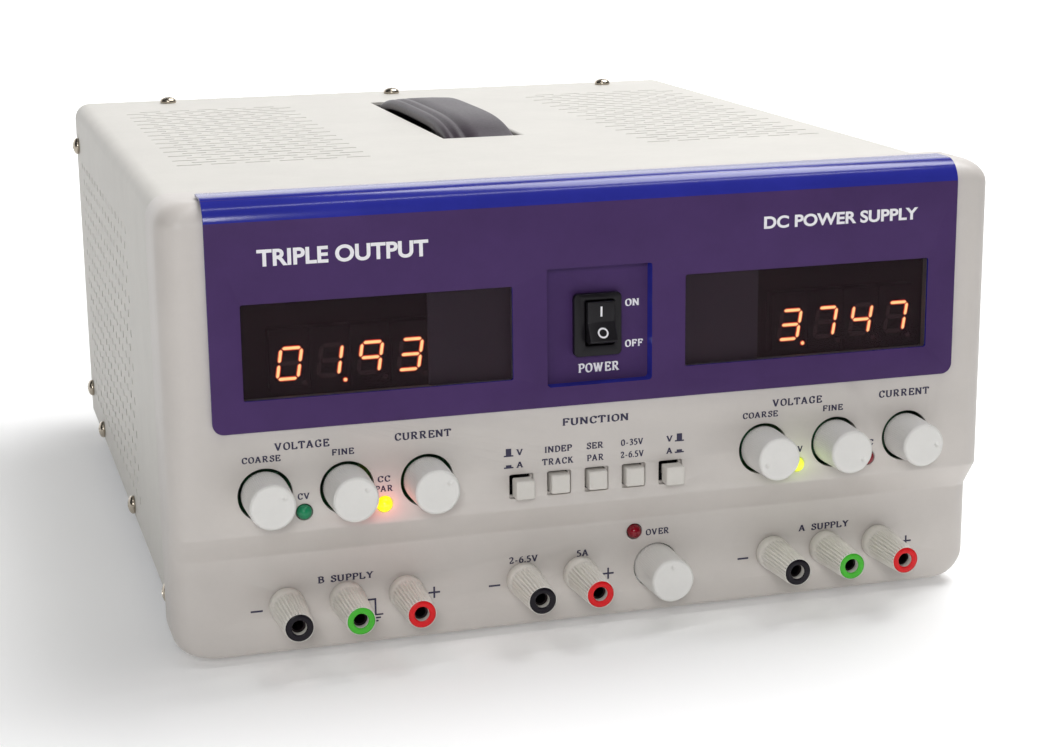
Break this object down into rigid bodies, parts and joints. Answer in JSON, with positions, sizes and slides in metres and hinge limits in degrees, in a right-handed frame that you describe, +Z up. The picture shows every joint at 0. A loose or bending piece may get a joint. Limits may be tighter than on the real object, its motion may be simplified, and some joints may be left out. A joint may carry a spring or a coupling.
{
  "type": "bench power supply",
  "caption": "Bench DC power supply: blue metered fascia, stepped front with knobs, buttons, lamps and binding posts, perforated steel cover, strap handle and rear heat sink.",
  "frame": {"origin": "middle of the object's box on the surface the feet stand on", "axes": "+Z up, -Y towards the front panel, +X to the right as seen from the front"},
  "size_m": [0.2712, 0.3484, 0.149],
  "materials": {
    "bezel_enamel": "fine satin enamel",
    "fascia_blue": "satin violet blue",
    "cover_enamel": "fine textured enamel",
    "window_tint": "dark red tinted window",
    "digit_module": "moulded digit blocks",
    "black_plastic": "moulded black",
    "knob_white": "moulded off-white",
    "button_grey": "moulded light grey",
    "circuit_board": "green solder mask",
    "lamp_green": "unlit green lens",
    "lamp_yellow_lit": "lit yellow lens",
    "lamp_lime_lit": "lit lime lens",
    "lamp_red": "unlit red lens",
    "post_ivory": "moulded ivory with ribs",
    "post_metal": "nickel-plated stud",
    "zinc_steel": "zinc-plated sheet",
    "foot_rubber": "soft black rubber",
    "screw_nickel": "bright nickel plate",
    "strap_black": "flexible moulded strap",
    "transformer_core": "varnished laminations",
    "heat_sink_black": "black anodised extrusion"
  },
  "bodies": {
    "chassis": {"front_bezel": "bezel_enamel", "blue_fascia": "fascia_blue", "display_window_left": "window_tint", "display_window_right": "window_tint", "display_module_left": "digit_module", "display_module_right": "digit_module", "power_switch_housing": "black_plastic", "control_board": "circuit_board", "button_switch_bank": "black_plastic", "lamp_left_constant_voltage": "lamp_green", "lamp_left_constant_current": "lamp_yellow_lit", "lamp_right_constant_voltage": "lamp_lime_lit", "lamp_right_constant_current": "lamp_red", "lamp_overload": "lamp_red", "post_core_1": "post_metal", "post_core_2": "post_metal", "post_core_3": "post_metal", "post_core_4": "post_metal", "post_core_5": "post_metal", "post_core_6": "post_metal", "post_core_7": "post_metal", "post_core_8": "post_metal", "top_cover": "cover_enamel", "chassis_tray": "zinc_steel", "rear_panel": "cover_enamel", "foot_front_left": "foot_rubber", "foot_front_right": "foot_rubber", "foot_rear_left": "foot_rubber", "foot_rear_right": "foot_rubber", "top_cover_screws": "screw_nickel", "left_cover_screws": "screw_nickel", "right_cover_screws": "screw_nickel", "strap_bracket_front": "zinc_steel", "strap_bracket_rear": "zinc_steel", "transformer": "transformer_core", "main_board": "circuit_board", "rear_heat_sink": "heat_sink_black", "mains_inlet": "black_plastic"},
    "knob_left_voltage_coarse": {"knob_left_voltage_coarse": "knob_white"},
    "knob_left_voltage_fine": {"knob_left_voltage_fine": "knob_white"},
    "knob_left_current": {"knob_left_current": "knob_white"},
    "knob_right_voltage_coarse": {"knob_right_voltage_coarse": "knob_white"},
    "knob_right_voltage_fine": {"knob_right_voltage_fine": "knob_white"},
    "knob_right_current": {"knob_right_current": "knob_white"},
    "knob_fixed_output_trim": {"knob_fixed_output_trim": "knob_white"},
    "power_rocker": {"power_rocker": "black_plastic"},
    "button_cap_1": {"button_cap_1": "button_grey"},
    "button_cap_2": {"button_cap_2": "button_grey"},
    "button_cap_3": {"button_cap_3": "button_grey"},
    "button_cap_4": {"button_cap_4": "button_grey"},
    "button_cap_5": {"button_cap_5": "button_grey"},
    "post_cap_1": {"post_cap_1": "post_ivory"},
    "post_cap_2": {"post_cap_2": "post_ivory"},
    "post_cap_3": {"post_cap_3": "post_ivory"},
    "post_cap_4": {"post_cap_4": "post_ivory"},
    "post_cap_5": {"post_cap_5": "post_ivory"},
    "post_cap_6": {"post_cap_6": "post_ivory"},
    "post_cap_7": {"post_cap_7": "post_ivory"},
    "post_cap_8": {"post_cap_8": "post_ivory"},
    "carrying_strap": {"carrying_strap": "strap_black"}
  },
  "joints": [
    {"name": "knob_left_voltage_coarse_turn", "type": "hinge", "parent": "chassis", "child": "knob_left_voltage_coarse", "pos_m": [-0.1067, -0.15865, 0.0569], "axis": [0, 1, 0], "range_deg": [-204, 96]},
    {"name": "knob_left_voltage_fine_turn", "type": "hinge", "parent": "chassis", "child": "knob_left_voltage_fine", "pos_m": [-0.0814, -0.15865, 0.0569], "axis": [0, 1, 0], "range_deg": [-201, 99]},
    {"name": "knob_left_current_turn", "type": "hinge", "parent": "chassis", "child": "knob_left_current", "pos_m": [-0.0561, -0.15865, 0.0569], "axis": [0, 1, 0], "range_deg": [-205, 95]},
    {"name": "knob_right_voltage_coarse_turn", "type": "hinge", "parent": "chassis", "child": "knob_right_voltage_coarse", "pos_m": [0.0561, -0.15865, 0.0569], "axis": [0, 1, 0], "range_deg": [-38, 262]},
    {"name": "knob_right_voltage_fine_turn", "type": "hinge", "parent": "chassis", "child": "knob_right_voltage_fine", "pos_m": [0.0814, -0.15865, 0.0569], "axis": [0, 1, 0], "range_deg": [-275, 25]},
    {"name": "knob_right_current_turn", "type": "hinge", "parent": "chassis", "child": "knob_right_current", "pos_m": [0.1067, -0.15865, 0.0569], "axis": [0, 1, 0], "range_deg": [-240, 60]},
    {"name": "knob_fixed_output_trim_turn", "type": "hinge", "parent": "chassis", "child": "knob_fixed_output_trim", "pos_m": [0.0218, -0.15165, 0.0185], "axis": [0, 1, 0], "range_deg": [-152, 148]},
    {"name": "power_rocker_tilt", "type": "hinge", "parent": "chassis", "child": "power_rocker", "pos_m": [0.0006, -0.15745, 0.1026], "axis": [1, 0, 0], "range_deg": [0, 28]},
    {"name": "button_cap_1_press", "type": "slide", "parent": "chassis", "child": "button_cap_1", "axis": [0, 1, 0], "range_m": [0, 0.0036], "stiffness_N_per_m": 120},
    {"name": "button_cap_2_press", "type": "slide", "parent": "chassis", "child": "button_cap_2", "axis": [0, 1, 0], "range_m": [-0.003, 0.0006], "stiffness_N_per_m": 120},
    {"name": "button_cap_3_press", "type": "slide", "parent": "chassis", "child": "button_cap_3", "axis": [0, 1, 0], "range_m": [-0.003, 0.0006], "stiffness_N_per_m": 120},
    {"name": "button_cap_4_press", "type": "slide", "parent": "chassis", "child": "button_cap_4", "axis": [0, 1, 0], "range_m": [-0.003, 0.0006], "stiffness_N_per_m": 120},
    {"name": "button_cap_5_press", "type": "slide", "parent": "chassis", "child": "button_cap_5", "axis": [0, 1, 0], "range_m": [0, 0.0036], "stiffness_N_per_m": 120},
    {"name": "post_cap_1_unscrew", "type": "slide", "parent": "chassis", "child": "post_cap_1", "axis": [0, -1, 0], "range_m": [0, 0.005]},
    {"name": "post_cap_2_unscrew", "type": "slide", "parent": "chassis", "child": "post_cap_2", "axis": [0, -1, 0], "range_m": [0, 0.005]},
    {"name": "post_cap_3_unscrew", "type": "slide", "parent": "chassis", "child": "post_cap_3", "axis": [0, -1, 0], "range_m": [0, 0.005]},
    {"name": "post_cap_4_unscrew", "type": "slide", "parent": "chassis", "child": "post_cap_4", "axis": [0, -1, 0], "range_m": [0, 0.005]},
    {"name": "post_cap_5_unscrew", "type": "slide", "parent": "chassis", "child": "post_cap_5", "axis": [0, -1, 0], "range_m": [0, 0.005]},
    {"name": "post_cap_6_unscrew", "type": "slide", "parent": "chassis", "child": "post_cap_6", "axis": [0, -1, 0], "range_m": [0, 0.005]},
    {"name": "post_cap_7_unscrew", "type": "slide", "parent": "chassis", "child": "post_cap_7", "axis": [0, -1, 0], "range_m": [0, 0.005]},
    {"name": "post_cap_8_unscrew", "type": "slide", "parent": "chassis", "child": "post_cap_8", "axis": [0, -1, 0], "range_m": [0, 0.005]},
    {"name": "carrying_strap_lift", "type": "slide", "parent": "chassis", "child": "carrying_strap", "axis": [0, 0, 1], "range_m": [0, 0.0008]}
  ]
}
